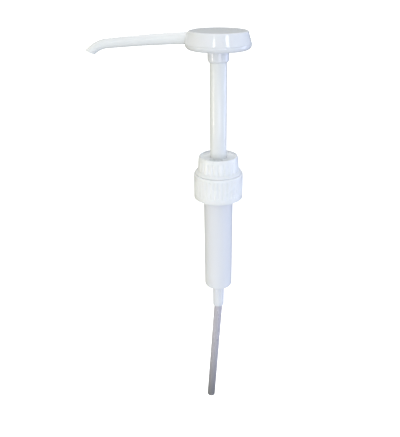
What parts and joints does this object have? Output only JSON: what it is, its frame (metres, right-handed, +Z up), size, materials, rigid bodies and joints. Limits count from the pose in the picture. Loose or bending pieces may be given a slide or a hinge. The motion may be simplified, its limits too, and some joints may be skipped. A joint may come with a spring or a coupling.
{
  "type": "condiment pump dispenser",
  "caption": "Hand pump for a condiment bottle: round push head, long swivelling spout, sprung plunger, ribbed screw cap, cylinder and dip tube.",
  "frame": {"origin": "on the pump's axis in the underside of the neck gasket, the plane of the bottle's mouth", "axes": "+Z up along the axis to the push head; the spout points to -X; +Y away from the viewer"},
  "size_m": [0.1317, 0.053, 0.3707],
  "materials": {
    "white_moulding": "glossy injection-moulded white polypropylene",
    "white_tube": "smooth extruded white polyethylene",
    "natural_tube": "translucent extruded natural polyethylene",
    "steel": "drawn stainless wire",
    "ball_steel": "polished stainless ball",
    "inner_moulding": "satin natural polypropylene",
    "seal": "food-grade elastomer"
  },
  "bodies": {
    "pump_body": {"cylinder": "white_moulding", "dip_tube": "natural_tube", "inlet_valve_cage": "inner_moulding", "return_spring": "steel", "guide_bush": "inner_moulding", "stem_wiper": "seal", "lock_collar": "white_moulding", "neck_gasket": "seal"},
    "cap": {"closure": "white_moulding"},
    "foot_ball": {"inlet_ball": "ball_steel"},
    "piston_ring": {"piston_seal": "seal", "thrust_washer": "steel"},
    "plunger": {"stem": "white_tube", "piston_core": "inner_moulding", "piston_nut": "inner_moulding", "outlet_ball_stop": "inner_moulding", "stem_top_seal": "seal", "head_body": "white_moulding", "head_cap": "white_moulding", "spout": "white_tube"},
    "stem_ball": {"outlet_ball": "ball_steel"}
  },
  "joints": [
    {"name": "closure_spin", "type": "hinge", "parent": "pump_body", "child": "cap", "pos_m": [0, 0, 0], "axis": [0, 0, 1], "continuous": true},
    {"name": "plunger_stroke", "type": "slide", "parent": "pump_body", "child": "piston_ring", "axis": [0, 0, -1], "range_m": [0, 0.072], "stiffness_N_per_m": 220, "springref_m": -0.035, "deforming": ["return_spring"]},
    {"name": "spout_swivel", "type": "hinge", "parent": "piston_ring", "child": "plunger", "pos_m": [0, 0, 0], "axis": [0, 0, 1], "continuous": true},
    {"name": "inlet_ball_lift", "type": "slide", "parent": "pump_body", "child": "foot_ball", "axis": [0, 0, 1], "range_m": [0, 0.0025]},
    {"name": "outlet_ball_lift", "type": "slide", "parent": "plunger", "child": "stem_ball", "axis": [0, 0, 1], "range_m": [0, 0.0025]}
  ]
}
